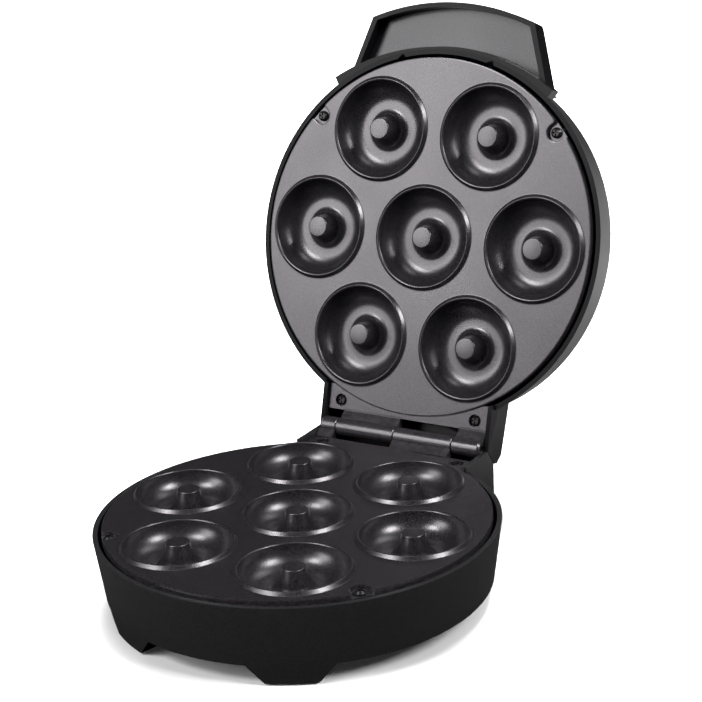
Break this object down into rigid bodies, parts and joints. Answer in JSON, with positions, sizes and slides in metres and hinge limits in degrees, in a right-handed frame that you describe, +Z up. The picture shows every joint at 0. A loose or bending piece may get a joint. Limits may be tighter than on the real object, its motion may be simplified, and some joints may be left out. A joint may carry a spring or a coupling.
{
  "type": "donut maker",
  "caption": "Round clamshell donut maker, hinged lid open on its stop, non-stick ring cavities in both plates, front lift handle and moulded feet.",
  "frame": {"origin": "on the worktop, under the centre of the round base", "axes": "+X to the right seen from the front, +Y from the front towards the hinge, +Z up"},
  "size_m": [0.202, 0.2982, 0.2686],
  "materials": {
    "base_plastic": "satin moulded black",
    "foot_rubber": "matt",
    "pin_steel": "turned",
    "thermostat_can": "plain",
    "strap_steel": "zinc plated",
    "screw_steel": "zinc plated",
    "fuse_sleeve": "glass-fibre sleeve",
    "bush_plastic": "matt",
    "clamp_plastic": "plain",
    "ceramic": "unglazed",
    "lid_gloss": "polished black",
    "handle_gloss": "polished black",
    "insert_satin": "satin grey",
    "lens_red": "clear tinted",
    "lens_green": "clear tinted",
    "lamp_glass": "clear",
    "nonstick": "speckled non-stick coating",
    "screw_black": "blackened",
    "spacer_steel": "plain",
    "element_sheath": "heat-stained"
  },
  "bodies": {
    "base": {"base_housing": "base_plastic", "rubber_feet": "foot_rubber", "lower_plate": "nonstick", "lower_plate_screws": "screw_black", "lower_plate_spacers": "spacer_steel", "lower_heating_element": "element_sheath", "lower_element_clamps": "strap_steel", "lower_clamp_screws": "screw_steel", "hinge_pin": "pin_steel", "thermostat": "thermostat_can", "thermostat_strap": "strap_steel", "thermostat_strap_screw": "screw_steel", "thermal_fuse": "fuse_sleeve", "cord_inlet_bush": "bush_plastic", "cord_clamp": "clamp_plastic", "cord_clamp_screws": "screw_steel", "terminal_block": "ceramic", "terminal_block_screw": "screw_steel"},
    "lid": {"lid_cover": "lid_gloss", "handle": "handle_gloss", "handle_insert": "insert_satin", "handle_screws": "screw_steel", "power_lens": "lens_red", "ready_lens": "lens_green", "lamp_holder": "clamp_plastic", "neon_lamps": "lamp_glass", "upper_plate": "nonstick", "upper_plate_screws": "screw_black", "upper_plate_spacers": "spacer_steel", "upper_heating_element": "element_sheath", "upper_element_clamps": "strap_steel", "upper_clamp_screws": "screw_steel"}
  },
  "joints": [
    {"name": "lid_hinge", "type": "hinge", "parent": "base", "child": "lid", "pos_m": [0, 0.1081, 0.04565], "axis": [1, 0, 0], "range_deg": [0, 106.2]}
  ]
}
